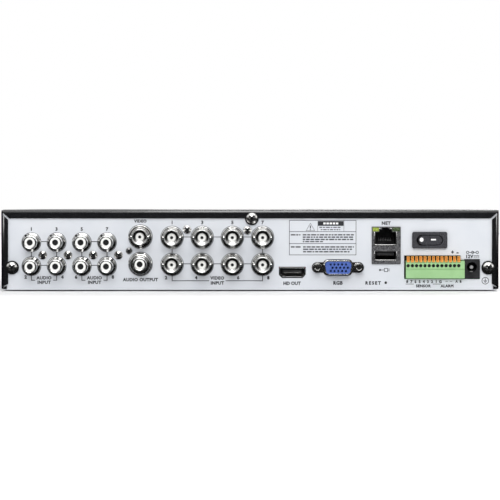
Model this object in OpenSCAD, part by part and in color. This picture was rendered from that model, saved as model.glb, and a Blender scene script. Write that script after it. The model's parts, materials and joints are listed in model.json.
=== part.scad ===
/* [Case] */
// Width of the case
case_w = 300; // [299:0.5:306]
// Depth of the case with its front fascia
case_d = 227; // [226:1:250]
// Height of the case without its feet
case_h = 48.4; // [48.2:0.1:50]
// Thickness of the sheet metal
sheet_t = 1; // [0.9:0.05:1]
// Height of the rubber feet
foot_h = 0.8; // [0.6:0.1:6]
// Width of the cover's side flanges on the rear panel
side_flange_w = 4.25; // [4:0.05:4.4]
// Height of the cover's top flange on the rear panel
top_flange_h = 5.3; // [5.2:0.1:5.4]
// Outer radius of the cover's bends
bend_r = 1.9; // [1.6:0.1:1.9]
// Depth of the front fascia
fascia_d = 9; // [8:0.5:10]

/* [Main board] */
// Height of the board's top above the underside of the case
board_top = 7; // [6.9:0.1:7.1]
// Thickness of the board
board_t = 1.6; // [1.5:0.1:1.6]
// Depth of the board
board_d = 104; // [100:1:104]

/* [Audio sockets] */
// Place across of the first column of audio sockets
audio_x = -131.8; // [-132:0.1:-131]
// Distance between the columns
audio_pitch = 15.2; // [15.1:0.1:15.3]
// Height of the lower row
audio_low = 14.3; // [14:0.1:14.6]
// Height of the upper row
audio_high = 28.7; // [28.4:0.1:29]
// Radius of a socket's outer shell
audio_shell_r = 4.15; // [4.1:0.05:4.2]
// How far the audio sockets stand out of the panel
audio_reach = 9; // [8:0.5:10]

/* [Video sockets] */
// Place across of the first column of video sockets
video_x = -46.95; // [-47.1:0.05:-46.8]
// Distance between the columns
video_pitch = 18.17; // [18.1:0.01:18.25]
// Height of the lower row
video_low = 15.3; // [15.1:0.1:15.5]
// Height of the upper row
video_high = 31.6; // [31.4:0.1:31.8]
// Radius of a bayonet barrel
video_barrel_r = 4.8; // [4.7:0.05:4.85]
// How far the video sockets stand out of the panel
video_reach = 10.5; // [10.2:0.1:12]

/* [Output block] */
// Place across of the output block
output_x = -66.05; // [-66.2:0.05:-65.9]
// Height of its audio socket
output_low = 15.6; // [15.4:0.1:15.8]
// Height of its video socket
output_high = 32; // [31.8:0.1:32.1]

/* [Terminal block] */
// Number of ways
ways = 13; // [9:1:13]
// Distance between the ways
way_pitch = 2.54; // [2.54:0.01:2.54]
// Place across of the last way
last_way_x = 125.7; // [125.6:0.05:125.8]
// Width of a lever
lever_w = 1.6; // [1.5:0.05:1.65]

/* [Power switch] */
// Place across of the switch
switch_x = 108.25; // [108:0.05:108.5]
// Height of the switch
switch_z = 30; // [29.8:0.1:30.2]
// How far the rocker leans at rest, in degrees
rocker_lean = 11; // [9:0.5:11]

/* [Hidden] */
$fn = 48;

total_d = case_d + video_reach;
panel_y = video_reach - total_d / 2;      // outer face of the rear panel
tray_gap = 0.15;                          // fitting gap between the cover and the tray
tray_w = case_w - 2 * (sheet_t + tray_gap);
tray_h = case_h - sheet_t - tray_gap;
tray_len = case_d - fascia_d - sheet_t;   // from the rear panel's face to the front wall's face
board_under = board_top - board_t;
board_y = sheet_t + 0.4;                  // rear edge of the board, inward of the panel's face
board_w = 286;

tray_side_h = 11;
bottom_vent = [2.6, 16];                  // size of one slot
bottom_vent_places = [for (i = [0:13], y = [118, 142, 166]) [40 + i * 6, y]];
side_vent = [2.4, 11];
side_vent_places = [for (i = [0:17], z = [16, 31]) [60 + i * 7, z]];
lead_slot = [[-40, 40], [14, 28]];        // opening in the tray's front wall for the front board's lead
flange_cut = 2.9;                         // height of the lip under the slit in a flange's lower end
cover_gap = 0.6;                          // height of the cover's lower edge above the case's underside

case_screw_places = [[-143.4, 13.5], [143.6, 13.4], [1.1, 43.1]];
case_screw_head = [3.35, 2.1];            // radius and height of a screw's head
block_screw_head = [2.6, 1.7];
output_screw_head = [1.95, 1.3];
tab_r = 4.15;
m3_r = 1.5;
m2_r = 1;
thread_gap = 0.05;
hole_gap = 0.2;                           // a screw's clearance in the hole that it passes through
cutout_gap = 0.15;                        // gap between a connector and its cut-out

audio_columns = [for (i = [0:3]) audio_x + i * audio_pitch];
video_columns = [for (i = [0:3]) video_x + i * video_pitch];
audio_screw_places = [for (x = audio_columns) [x + 6.9, 21]];
video_screw_places = [[video_columns[0] + 9.05, 36.4], [video_columns[2] + 9.05, 36]];
output_screw_place = [output_x - 6.85, 23.6];
audio_places = [for (x = audio_columns, z = [audio_high, audio_low]) [x, z]];
video_places = [for (x = video_columns, z = [video_high, video_low]) [x, z]];
audio_flange_r = 5.65;
audio_bore_r = 3.15;
audio_hole_r = 1.8;                       // hole in the white insulator
video_collar_r = 6.75;
video_step_r = 5.55;
video_bore_r = 4.1;
video_core_r = 2.5;
lug_r = 0.95;
lug_span = 11.2;                          // across the tips of the two bayonet lugs
output_collar_r = 7.1;
output_bore_r = 3;
block_top = 38.6;

hd_x = 25.5;
hd_z = 10.55;
monitor_x = 53;
monitor_z = 13.5;
jackscrew_spacing = 25;
jackscrew_places = [for (side = [-1, 1]) [monitor_x + side * jackscrew_spacing / 2, monitor_z]];
jackscrew_r = 2.85;
jackscrew_bore_r = 1.42;
jackscrew_shank_r = 1.65;
monitor_reach = 5.6;
monitor_pin_pitch = [2.29, 1.98];         // across, and between the rows
network_x = [73.5, 90.7];
network_z = [15.7, 38];                   // the part of the stack that stands in the panel's cut-out
network_back = 24;
shield_t = 0.35;
socket_x = [75.4, 88];
network_opening_z = [27.4, 34.9];
usb_opening_z = [18.2, 23.2];
reset_place = [81.9, 4.3];
inlet_x = [129.35, 138.5];
inlet_place = [133.7, 13.7];
inlet_hole_r = 3.1;
inlet_hole_d = 9.5;
terminal_x = [93.9, 129.2];
wire_z = 14.6;
lever_pivot = [1.2, 17];                  // inward of the panel's face, and above the case's underside
heel_r = 0.9;
lever_top = 20.3;
lever_gap = 0.25;                         // between a lever and its slot
wire_hole_r = 1.05;
switch_size = [21.1, 10];
rocker_pivot_y = 0.4;
rocker_size = [14.4, 5.6];
rocker_pin_r = 1;
foot_places = [for (x = [-118, 118], y = [-68, 78]) [x, y]];
disk_size = [147, 101.6, 26.1];
disk_corner = [-130, 110.5, 4];           // from the case's middle, the panel's face and the underside
standoff_places = [for (x = [-138, -20, 66, 139], y = [34, 98]) [x, y]];
disk_screw_head = 0.5;                    // height of the flat heads under the case, less than the feet
disk_hole_places = [for (x = [41.3, 118], y = [6.4, 95.2]) [disk_corner.x + x, disk_corner.y + y]];
heat_sink_place = [0, 45];
heat_sink_half = 16;
fin_pitch = 3.85;
fin_t = 1.2;
battery_place = [25, 75];
chips = [[-90, 60, 14], [-60, 60, 14], [-10, 85, 12], [40, 60, 10], [58, 60, 10], [95, 55, 12]]; // with side
capacitor_places = [[70, 80], [82, 80], [94, 80]];
sounder_place = [118, 84];
window_place = [100, 23];                 // on the front fascia
window_size = [29.8, 13.8];
light_places = [for (i = [0:2]) [-118 + i * 12, 30]];
light_pipe_r = 1.25;

// Frame of the rear panel: x across, y inward from its outer face, z up from the case's underside
module at_panel() translate([0, panel_y, foot_h]) children();

// Extrudes a profile drawn in x and z from depth y0 to depth y1
module through(y0, y1) translate([0, y1, 0]) rotate([90, 0, 0]) linear_extrude(y1 - y0) children();

// Extrudes a profile drawn in y and z from x0 to x1
module across(x0, x1) translate([x0, 0, 0]) rotate([90, 0, 90]) linear_extrude(x1 - x0) children();

module span(x, z) translate([x[0], z[0]]) square([x[1] - x[0], z[1] - z[0]]);

module block(x, y, z) translate([x[0], y[0], z[0]]) cube([x[1] - x[0], y[1] - y[0], z[1] - z[0]]);

module rod(place, r, y0, y1) through(y0, y1) translate(place) circle(r);

module ring(place, outer, inner, y0, y1) difference() {
  rod(place, outer, y0, y1);
  rod(place, inner, y0 - 1, y1 + 1);
}

module rounded(size, r) {
  square([size.x - 2 * r, size.y], center = true);
  square([size.x, size.y - 2 * r], center = true);
  for (x = [-1, 1], y = [-1, 1]) translate([x * (size.x / 2 - r), y * (size.y / 2 - r)]) circle(r);
}

// An upright slot with round ends, a hair short of full circles so that its straight sides have some length
module slot(size) rounded(size, size.x / 2 - 0.01);

// A convex outline, counter-clockwise, with arcs of radius r about its points
function outward(a, b) = let (d = b - a) [d.y, -d.x] / norm(d);
module soft_outline(points, r) {
  last = len(points) - 1;
  before = [for (i = [0:last]) points[i == 0 ? last : i - 1]];
  after = [for (i = [0:last]) points[i == last ? 0 : i + 1]];
  polygon([for (i = [0:last], side = [0, 1])
    points[i] + r * (side == 0 ? outward(before[i], points[i]) : outward(points[i], after[i]))]);
  for (p = points) translate(p) circle(r);
}

// A pan head with a cross recess, its shank going inward from depth y0
module pan_screw(place, y0, head, shank_r, shank_len) {
  head_r = head[0];
  head_h = head[1];
  crown_r = head_r * 1.6;
  recess = [head_r * 1.2, head_r * 0.34, head_h * 0.75];
  translate([place.x, y0, place.y]) rotate([90, 0, 0]) difference() {
    union() {
      intersection() {
        cylinder(r = head_r, h = head_h);
        translate([0, 0, head_h - crown_r]) sphere(r = crown_r);
      }
      translate([0, 0, -shank_len]) cylinder(r = shank_r, h = shank_len);
    }
    for (a = [0, 90]) rotate([0, 0, a + 45]) translate([-recess.x / 2, -recess.y / 2, head_h - recess.z])
      cube([recess.x, recess.y, head_h]);
  }
}

// --- Case ---

module monitor_cutout() {
  translate([monitor_x, monitor_z]) {
    rounded([18, 10], 3);
    square([jackscrew_spacing, 6.4], center = true);
  }
  for (p = jackscrew_places) translate(p) circle(3.3);
}

module hd_outline(grow) {
  half = [7.45 + grow, 2.75 + grow];
  lower = [5.9 + grow * 0.6, 1.1 + grow * 0.6];
  translate([hd_x, hd_z]) polygon([
    [-lower.x, -half.y], [lower.x, -half.y], [half.x, -lower.y], [half.x, half.y],
    [-half.x, half.y], [-half.x, -lower.y]]);
}

module terminal_cutout() {
  foot = board_top - 0.5;
  span([terminal_x[0] - 1, 127], [foot, 20.8]);
  span([terminal_x[0] - 1, inlet_x[0] + 0.1], [foot, 18.2]);
  span([inlet_x[0] - 0.2, inlet_x[1] + cutout_gap], [foot, 18.6]);
}

module panel_cutouts() {
  for (p = audio_places) translate(p) circle(audio_flange_r + cutout_gap);
  for (p = video_places) translate(p) circle(video_collar_r + cutout_gap);
  for (z = [output_low, output_high]) translate([output_x, z]) circle(output_collar_r + cutout_gap);
  for (p = concat(audio_screw_places, video_screw_places)) translate(p) circle(m3_r + hole_gap);
  translate(output_screw_place) circle(m2_r + hole_gap);
  for (p = case_screw_places) translate(p) circle(m3_r + thread_gap);
  hd_outline(0.65);
  monitor_cutout();
  span(network_x - [cutout_gap, -cutout_gap], network_z - [cutout_gap, -cutout_gap]);
  translate(reset_place) circle(0.8);
  translate([switch_x, switch_z]) square([19.4, 8.8], center = true);
  terminal_cutout();
}

module base_tray() color("gainsboro") at_panel() difference() {
  union() {
    block([-tray_w / 2, tray_w / 2], [0, tray_len], [0, sheet_t]);
    block([-tray_w / 2, tray_w / 2], [0, sheet_t], [0, tray_h]);
    block([-tray_w / 2, tray_w / 2], [tray_len - sheet_t, tray_len], [0, tray_h]);
    for (x = [-tray_w / 2, tray_w / 2 - sheet_t]) block([x, x + sheet_t], [0, tray_len], [0, tray_side_h]);
  }
  through(-1, sheet_t + 1) panel_cutouts();
  for (p = disk_hole_places) translate([p.x, p.y, -1]) cylinder(r = m3_r + hole_gap, h = sheet_t + 2);
  for (p = bottom_vent_places) translate([p.x, p.y, -1]) linear_extrude(sheet_t + 2) slot(bottom_vent);
  through(tray_len - sheet_t - 1, tray_len + 1) span(lead_slot.x, lead_slot.y);
}

module cover_outline() translate([0, case_h / 2]) rounded([case_w, case_h], bend_r);

// Side and top flanges: a mitre slit in each top corner, a slit and a short lip below, a tab at each screw
module rear_flanges() {
  half = case_w / 2;
  inner = [half - side_flange_w, case_h - top_flange_h];
  slit = 0.75;
  slit_end = [half - 0.5, case_h - bend_r];
  lip_x = half - 3.5;
  difference() {
    span([-half, half], [cover_gap, case_h]);
    span([-inner.x, inner.x], [0, inner.y]);
    for (side = [-1, 1]) scale([side, 1]) {
      polygon([[inner.x - 0.1, inner.y - slit], [inner.x - 0.1 - slit, inner.y],
        [slit_end.x - slit, slit_end.y], [slit_end.x, slit_end.y - slit]]);
      polygon([[inner.x - 1, flange_cut + 1.3], [inner.x - 1, flange_cut + 0.2],
        [half - 1.5, flange_cut - 1.2], [half - 1.5, flange_cut - 0.6]]);
      polygon([[inner.x - 1, -1], [lip_x, -1], [lip_x, flange_cut], [inner.x - 1, flange_cut + 0.5]]);
    }
  }
  for (p = case_screw_places) translate(p) circle(tab_r);
}

module top_cover() color([0.07, 0.07, 0.08]) at_panel() difference() {
  intersection() {
    union() {
      difference() {
        through(-sheet_t, tray_len + sheet_t) difference() {
          cover_outline();
          span([-case_w / 2 + sheet_t, case_w / 2 - sheet_t], [-1, case_h - sheet_t]);
          span([-case_w, case_w], [-1, cover_gap]);
        }
        for (side = [-1, 1]) translate([side * case_w / 2, -sheet_t, 0]) rotate([0, 45, 0])
          cube(bend_r + 1.2, center = true);
      }
      through(-sheet_t, 0) rear_flanges();
    }
    across(-case_w, case_w) translate([tray_len / 2 + sheet_t, case_h / 2 - 2])
      rounded([tray_len + 2 * sheet_t + 2, case_h + 4], bend_r);
    linear_extrude(case_h) translate([0, tray_len / 2 + 4])
      rounded([case_w, tray_len + 2 * sheet_t + 8], bend_r);
  }
  for (p = case_screw_places) rod(p, m3_r + hole_gap, -sheet_t - 1, 1);
  for (p = side_vent_places) across(-case_w, case_w) translate(p) slot(side_vent);
}

module rubber_feet() color([0.1, 0.1, 0.1]) for (p = foot_places)
  translate([p.x, p.y, 0]) cylinder(r1 = 7.2, r2 = 8, h = foot_h);

module case_screws() color("silver") at_panel()
  for (p = case_screw_places) pan_screw(p, -sheet_t, case_screw_head, m3_r, 6);

module block_screws() color("silver") at_panel()
  for (p = concat(audio_screw_places, video_screw_places)) pan_screw(p, 0, block_screw_head, m3_r, 7);

module output_block_screw() color("dimgray") at_panel()
  pan_screw(output_screw_place, 0, output_screw_head, m2_r, 7);

// --- Inside ---

module on_board(p) translate([p.x, p.y, board_top]) children();

module main_board() color([0.05, 0.3, 0.16]) at_panel() {
  difference() {
    block([-board_w / 2, board_w / 2], [board_y, board_y + board_d], [board_under, board_top]);
    for (p = standoff_places) translate([p.x, p.y, 0]) cylinder(r = m3_r + hole_gap, h = case_h);
  }
  for (c = chips) on_board(c) linear_extrude(1.4) square(c[2], center = true);
  for (p = capacitor_places) on_board(p) cylinder(r = 4, h = 12);
  on_board(sounder_place) difference() {
    cylinder(r = 6, h = 8);
    translate([0, 0, 5]) cylinder(r = 1.2, h = 4);
  }
}

module board_standoffs() color("tan") at_panel() {
  for (p = standoff_places) translate([p.x, p.y, sheet_t]) difference() {
    cylinder(r = 3, h = board_under - sheet_t);
    translate([0, 0, -1]) cylinder(r = m3_r + thread_gap, h = board_under);
  }
  for (p = disk_hole_places) translate([p.x, p.y, sheet_t]) difference() {
    cylinder(r = 4, h = disk_corner.z - sheet_t);
    translate([0, 0, -1]) cylinder(r = m3_r + hole_gap, h = board_under);
  }
}

module inner_screws() color("silver") at_panel() {
  for (p = standoff_places) translate([p.x, p.y, 0]) {
    translate([0, 0, board_top]) cylinder(r = 2.8, h = 1.8);
    translate([0, 0, sheet_t]) cylinder(r = m3_r, h = board_top - sheet_t);
  }
  for (p = disk_hole_places) translate([p.x, p.y, 0]) {
    translate([0, 0, -disk_screw_head]) cylinder(r = 2.6, h = disk_screw_head);
    translate([0, 0, -disk_screw_head / 2]) cylinder(r = m3_r, h = 7 + disk_screw_head / 2);
  }
}

module heat_sink() color("darkgray") at_panel() on_board(heat_sink_place) {
  half = [-heat_sink_half, heat_sink_half];
  block(half, half, [0, 4]);
  for (i = [0:8]) block([0, fin_t] + (i * fin_pitch - heat_sink_half) * [1, 1], half, [4, 15]);
}

module clock_battery() color("silver") at_panel() on_board(battery_place) cylinder(r = 10, h = 3.2);

module hard_disk() color("silver") at_panel() difference() {
  union() {
    block([disk_corner.x, disk_corner.x + disk_size.x], [disk_corner.y, disk_corner.y + disk_size.y],
      [disk_corner.z, disk_corner.z + disk_size.z - 2]);
    translate([disk_corner.x + disk_size.x / 2, disk_corner.y + disk_size.y / 2, disk_corner.z])
      linear_extrude(disk_size.z) rounded([disk_size.x - 6, disk_size.y - 6], 8);
  }
  for (p = disk_hole_places) translate([p.x, p.y, disk_corner.z - 1]) cylinder(r = m3_r + thread_gap, h = 5);
}

// Flat cable from the plug on the disk's side, along its end, to the socket on the main board
module disk_cable() color([0.65, 0.1, 0.1]) at_panel() {
  x0 = disk_corner.x + disk_size.x;
  cable_t = 1.4;
  cable_y = [147, 155];
  riser = [x0 + 24 - cable_t, x0 + 24];
  socket_y = [80, 88];
  block([x0, x0 + 9], [130, 172], [5, 12]);
  block([x0 + 9, riser[1]], cable_y, [8, 8 + cable_t]);
  block(riser, cable_y, [8 + cable_t, 20]);
  block(riser, [socket_y[1], cable_y[1]], [20, 28]);
  block([x0 + 20, x0 + 26.6], socket_y, [board_top, 28]);
}

module at_fascia() at_panel() translate([0, tray_len + sheet_t, 0]) children();

module front_fascia() color([0.06, 0.06, 0.07]) at_fascia() difference() {
  intersection() {
    through(0, fascia_d) cover_outline();
    linear_extrude(case_h) translate([0, -4]) rounded([case_w, 2 * fascia_d + 8], 3);
  }
  through(-1, fascia_d - 2.5) translate([0, case_h / 2]) rounded([case_w - 5, case_h - 5], 1.5);
  through(0, fascia_d + 1) translate(window_place) rounded(window_size + [0.2, 0.2], 2);
  for (p = light_places) rod(p, light_pipe_r + thread_gap, 0, fascia_d + 1);
}

module front_board() color([0.05, 0.3, 0.16]) at_panel()
  block([-135, 135], [tray_len + sheet_t + 0.4, tray_len + sheet_t + 2], [8, 38]);

module infrared_window() color([0.25, 0.02, 0.05]) at_fascia() {
  through(fascia_d - 2.6, fascia_d) translate(window_place) rounded(window_size, 1.9);
  through(fascia_d - 4, fascia_d - 2.5) translate(window_place) rounded(window_size + [3.2, 3.2], 2);
}

module light_pipes() color("honeydew") at_fascia() for (p = light_places) {
  rod(p, light_pipe_r, 2.2, fascia_d);
  rod(p, light_pipe_r + 0.95, 2.2, fascia_d - 3);
}

// Flat lead from a header on the main board, over the disk, to the front board
module front_lead() color("lightgray") at_panel() {
  across_lead = [-10, 6];
  lead_t = 0.7;
  over = 33;                              // height of the run over the disk
  out = 20;                               // height at which it leaves through the front wall
  board_end = board_y + board_d;
  past_disk = disk_corner.y + disk_size.y + 2;
  block([-12, 8], [board_end - 5, board_end - 1], [board_top, 15]);
  block(across_lead, [board_end - 3.5, board_end - 3.5 + lead_t], [15, over]);
  block(across_lead, [board_end - 3.5, past_disk], [over, over + lead_t]);
  block(across_lead, [past_disk - lead_t, past_disk], [out, over]);
  block(across_lead, [past_disk - lead_t, tray_len + sheet_t + 0.4], [out, out + lead_t]);
}

// --- Audio and video sockets ---

module audio_blocks() color([0.09, 0.09, 0.1]) at_panel() for (x = audio_columns) difference() {
  union() {
    block([x - 6.3, x + 6.3], [sheet_t, 13], [board_top, block_top - 3]);
    block([x + 6.2, x + 8.75], [sheet_t, 9], [17, 25]);
  }
  for (z = [audio_low, audio_high]) rod([x, z], audio_flange_r - 0.4, 0, 11);
  rod([x + 6.9, 21], m3_r + thread_gap, 0, 8);
}

module audio_shell(place) {
  ring(place, audio_flange_r, audio_bore_r, -0.7, 0.95);
  ring(place, audio_flange_r - 0.45, audio_bore_r, 0.9, 10);
  difference() {
    ring(place, audio_shell_r, audio_bore_r, -audio_reach, 0);
    ring(place, audio_shell_r + 1, audio_shell_r - 0.25, -audio_reach - 1, 0.4 - audio_reach);
  }
}

module audio_insulator(place, r) ring(place, r, audio_hole_r, 0.15 - audio_reach, 9);

module audio_shells() color("silver") at_panel() for (p = audio_places) audio_shell(p);

module audio_insulators() color("white") at_panel() for (p = audio_places)
  audio_insulator(p, audio_bore_r - thread_gap);

module video_block(columns, screw) difference() {
  block([columns[0] - 8.4, columns[1] + 8.4], [sheet_t, 20], [board_top, block_top + 0.8]);
  for (x = columns, z = [video_low, video_high]) rod([x, z], video_step_r + thread_gap, 0, 12);
  rod(screw, m3_r + thread_gap, 0, 8);
}

module video_block_left() color([0.09, 0.09, 0.1]) at_panel()
  video_block([video_columns[0], video_columns[1]], video_screw_places[0]);

module video_block_right() color([0.09, 0.09, 0.1]) at_panel()
  video_block([video_columns[2], video_columns[3]], video_screw_places[1]);

// A bayonet barrel: collar, step, barrel with a deep bore, two lugs
module bayonet_barrel(place, collar_r) {
  ring(place, collar_r, video_core_r, -1.2, 0.95);
  ring(place, video_step_r, video_core_r, -3.2, 11);
  ring(place, video_barrel_r, video_bore_r, -video_reach, -3);
  ring(place, video_barrel_r - 0.2, video_core_r, -3.6, -3);
  translate([place.x, 3 - video_reach, place.y]) rotate([0, 90, 0]) difference() {
    cylinder(r = lug_r, h = lug_span, center = true);
    cylinder(r = lug_r + thread_gap, h = 2 * video_barrel_r - 0.8, center = true);
  }
}

module bayonet_insulator(place) ring(place, video_core_r - thread_gap, 1.25, 2.4 - video_reach, 9);

module bayonet_contact(place) difference() {
  rod(place, 1.2, 2.9 - video_reach, 9.5);
  rod(place, 0.7, -video_reach, -1);
}

module video_barrels() color("silver") at_panel() for (p = video_places) bayonet_barrel(p, video_collar_r);

module video_insulators() color("white") at_panel() for (p = video_places) bayonet_insulator(p);

module video_contacts() color("goldenrod") at_panel() {
  for (p = video_places) bayonet_contact(p);
  bayonet_contact([output_x, output_high]);
}

module output_block() color([0.09, 0.09, 0.1]) at_panel() difference() {
  block([output_x - 8.4, output_x + 8.4], [sheet_t, 20], [board_top, block_top + 0.8]);
  for (z = [output_low, output_high]) rod([output_x, z], video_step_r + thread_gap, 0, 12);
  rod(output_screw_place, m2_r + thread_gap, 0, 8);
}

module output_barrel() color("silver") at_panel() bayonet_barrel([output_x, output_high], output_collar_r);

module output_audio_shell() color("silver") at_panel() {
  place = [output_x, output_low];
  moat_r = 5.5;                           // between the rim and the shell
  ring(place, output_collar_r, output_bore_r, -1.6, 0.95);
  ring(place, output_collar_r - 0.9, moat_r, -3, -1.5);
  ring(place, moat_r, output_bore_r, 0.9, 10);
  ring(place, audio_shell_r, output_bore_r, -audio_reach, -1);
}

module output_insulators() color("white") at_panel() {
  audio_insulator([output_x, output_low], output_bore_r - thread_gap);
  bayonet_insulator([output_x, output_high]);
}

// --- Monitor ports ---

module hd_port_shell() color("darkgray") at_panel() difference() {
  through(-0.4, 11) hd_outline(0);
  through(-1, 10.6) hd_outline(-0.35);
}

module hd_port_tongue() color([0.08, 0.08, 0.09]) at_panel() {
  through(7.4, 10.6) hd_outline(-0.37);
  block([hd_x - 5.6, hd_x + 5.6], [0.8, 7.5], [hd_z - 0.2, hd_z + 1.3]);
}

// Outline of the 15-way shell, wider at the top
module monitor_outline(grow) translate([monitor_x, monitor_z])
  soft_outline([[-5.3, -1.8], [5.3, -1.8], [5.9, 1.8], [-5.9, 1.8]], 2.1 + grow);

module monitor_port_shell() color("silver") at_panel() {
  plate_y = [sheet_t, sheet_t + 0.9];     // the flange plate lies behind the panel
  difference() {
    through(-monitor_reach, 2) monitor_outline(0.3);
    through(-monitor_reach - 1, 3) monitor_outline(-0.15);
  }
  difference() {
    translate([monitor_x, 0, monitor_z]) through(plate_y[0], plate_y[1])
      rounded([jackscrew_spacing + 6, 9.6], 2.5);
    through(-1, 3) monitor_outline(0.3);
    for (p = jackscrew_places) rod(p, jackscrew_shank_r + 0.1, -1, 3);
  }
  block([monitor_x - 15, monitor_x + 15], [9, 10], [board_top, monitor_z + 5]);
}

module monitor_port_insert() color([0.1, 0.2, 0.7]) at_panel() difference() {
  union() {
    through(0.4 - monitor_reach, 2) monitor_outline(-0.17);
    block([monitor_x - 9, monitor_x + 9], [2, 9], [board_top, monitor_z + 5]);
  }
  for (row = [-1:1], i = [-2:2]) {
    shift = row == 0 ? 0.5 : 0;
    rod([monitor_x + (i + shift) * monitor_pin_pitch.x, monitor_z + row * monitor_pin_pitch.y], 0.68, -6, 1);
  }
}

module monitor_port_jackscrews() color("silver") at_panel() for (p = jackscrew_places) difference() {
  union() {
    rod(p, jackscrew_r, -0.9, sheet_t);
    through(-5, -0.8) translate(p) rotate(30) circle(r = jackscrew_r, $fn = 6);
    rod(p, jackscrew_shank_r, 0, 6);
  }
  rod(p, jackscrew_bore_r, -6, 3);
}

// --- Network and USB stack ---

module network_opening() {
  span(socket_x, network_opening_z);
  span([77.9, 85.5], [network_opening_z[1] - 1, 36.4]);
  span([79.5, 83.8], [36, 37.5]);
}

module network_light_windows() {
  span([network_x[0] + 0.4, 77.6], [35.3, 37.6]);
  span([85.8, network_x[1] - 0.4], [35.3, 37.6]);
}

// The stack's body: its lower part stays behind the panel, its upper part stands in the cut-out
module network_body(inset, under) {
  wide = network_x + [inset, -inset];
  behind_panel = sheet_t + 0.1;
  block(wide, [inset - 0.9, network_back - inset], [network_z[0] + inset, network_z[1] - inset]);
  block(wide, [behind_panel + inset, network_back - inset], [board_top - under, network_z[0] + inset + 0.1]);
}

module network_shield() color([0.32, 0.32, 0.33]) at_panel() difference() {
  network_body(0, 0);
  network_body(shield_t, 1);
  through(-2, 1) {
    network_opening();
    network_light_windows();
    span(socket_x, usb_opening_z);
  }
}

module network_insert() color([0.07, 0.07, 0.08]) at_panel() difference() {
  network_body(shield_t + 0.02, 0);
  through(-1, 14) network_opening();
  through(-1, 4) network_light_windows();
  through(-1, 14) span(socket_x, usb_opening_z);
}

module usb_tongue() color("whitesmoke") at_panel()
  block([76.4, 87], [0.6, 14], [usb_opening_z[0] + 2.6, usb_opening_z[0] + 4.3]);

module network_lights() color("yellowgreen") at_panel() through(-0.85, 4) network_light_windows();

// --- Power inlet ---

module inlet_body() color([0.08, 0.08, 0.09]) at_panel() difference() {
  union() {
    block(inlet_x, [-0.9, 14], [board_top, 18.4]);
    rod([inlet_place.x, inlet_place.y - 0.6], 4.1, 0, 14);
  }
  rod(inlet_place, inlet_hole_r, -2, inlet_hole_d);
}

module inlet_pin() color("silver") at_panel() {
  rod(inlet_place, 1, 0.6, inlet_hole_d);
  block([-0.9, 0.9] + inlet_place.x * [1, 1], [1.5, inlet_hole_d], [-2.9, -2.4] + inlet_place.y * [1, 1]);
}

// --- Spring terminal ---

function way_x(i) = last_way_x - (ways - i) * way_pitch;

module terminal_body() color([0.5, 0.78, 0.46]) at_panel() difference() {
  union() {
    block(terminal_x, [-2.4, 12], [board_top, 12.5]);
    block(terminal_x, [-2, 12], [12.4, 17.6]);
    block(terminal_x, [3.2, 12], [17.5, 20.4]);
  }
  for (i = [1:ways]) {
    lever_slot = way_x(i) * [1, 1] + (lever_w / 2 + lever_gap) * [-1, 1];
    socket_r = heel_r + thread_gap;
    rod([way_x(i), wire_z], wire_hole_r, -3, 7);
    block(lever_slot, [-3, 0], [lever_pivot.y - 0.45, 21]);
    block(lever_slot, [-0.8, lever_pivot.x], [lever_pivot.y - socket_r, 21]);
    block(lever_slot, [lever_pivot.x - 0.1, 2.6], [lever_pivot.y, 21]);
    across(lever_slot[0], lever_slot[1]) translate(lever_pivot) circle(socket_r);
  }
  block(terminal_x + [-1, 1], [-3, -1.6], [12.35, 12.65]);
}

module lever(i) color("darkorange") at_panel() across(way_x(i) - lever_w / 2, way_x(i) + lever_w / 2) {
  span([-2.4, -0.4], [lever_pivot.y - 0.2, lever_top - 0.6]);
  span([-1.8, -0.4], [lever_top - 1, lever_top]);
  translate([-1.8, lever_top - 0.6]) circle(0.6);
  span([-0.5, lever_pivot.x], [lever_pivot.y - 0.2, lever_pivot.y + heel_r]);
  translate(lever_pivot) circle(heel_r);
}

// --- Power switch ---

module stadium(length, height) {
  square([length - height, height], center = true);
  for (x = [-1, 1]) translate([x * (length - height) / 2, 0]) circle(height / 2);
}

module at_switch(y) at_panel() translate([switch_x, y, switch_z]) children();

module switch_housing() color([0.12, 0.12, 0.13]) at_switch(0) difference() {
  union() {
    through(-1.6, 0) rounded(switch_size, 1.2);
    block([-9.6, 9.6], [-0.1, 12], [-4.3, 4.3]);
    for (x = [-5, 5]) block([x - 0.4, x + 0.4], [11.9, 18], [-2.2, 2.2]);
  }
  through(-2, 5) stadium(16, 6.3);
  translate([0, rocker_pivot_y, 0]) cylinder(r = rocker_pin_r + thread_gap, h = 8, center = true);
}

module rocker() color([0.05, 0.05, 0.06]) at_switch(rocker_pivot_y) rotate([0, 0, rocker_lean]) {
  intersection() {
    linear_extrude(rocker_size.y, center = true) intersection() {
      circle(7.7);
      polygon([[-8, -2.7], [0, -1.8], [8, -2.7], [8, 1.4], [2, 2.2], [-2, 2.2], [-8, 1.4]]);
    }
    through(-5, 5) stadium(rocker_size.x, rocker_size.y);
  }
  cylinder(r = rocker_pin_r, h = 7.6, center = true);
}

module switch_leads() color([0.7, 0.08, 0.08]) at_panel() for (x = [-5, 5]) translate([switch_x + x, 0, 0]) {
  rod([0, switch_z], 1.1, 18, 30);
  translate([0, 30, switch_z]) sphere(r = 1.1);
  translate([0, 30, board_top]) cylinder(r = 1.1, h = switch_z - board_top);
}

// --- Reset switch ---

module reset_switch() color("dimgray") at_panel() difference() {
  block([reset_place.x - 3, reset_place.x + 3], [3, 8], [2, board_under]);
  rod(reset_place, 0.95, 2, 6.2);
}

module reset_plunger() color([0.1, 0.1, 0.1]) at_panel() rod(reset_place, 0.9, 1.4, 5.4);

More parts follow.
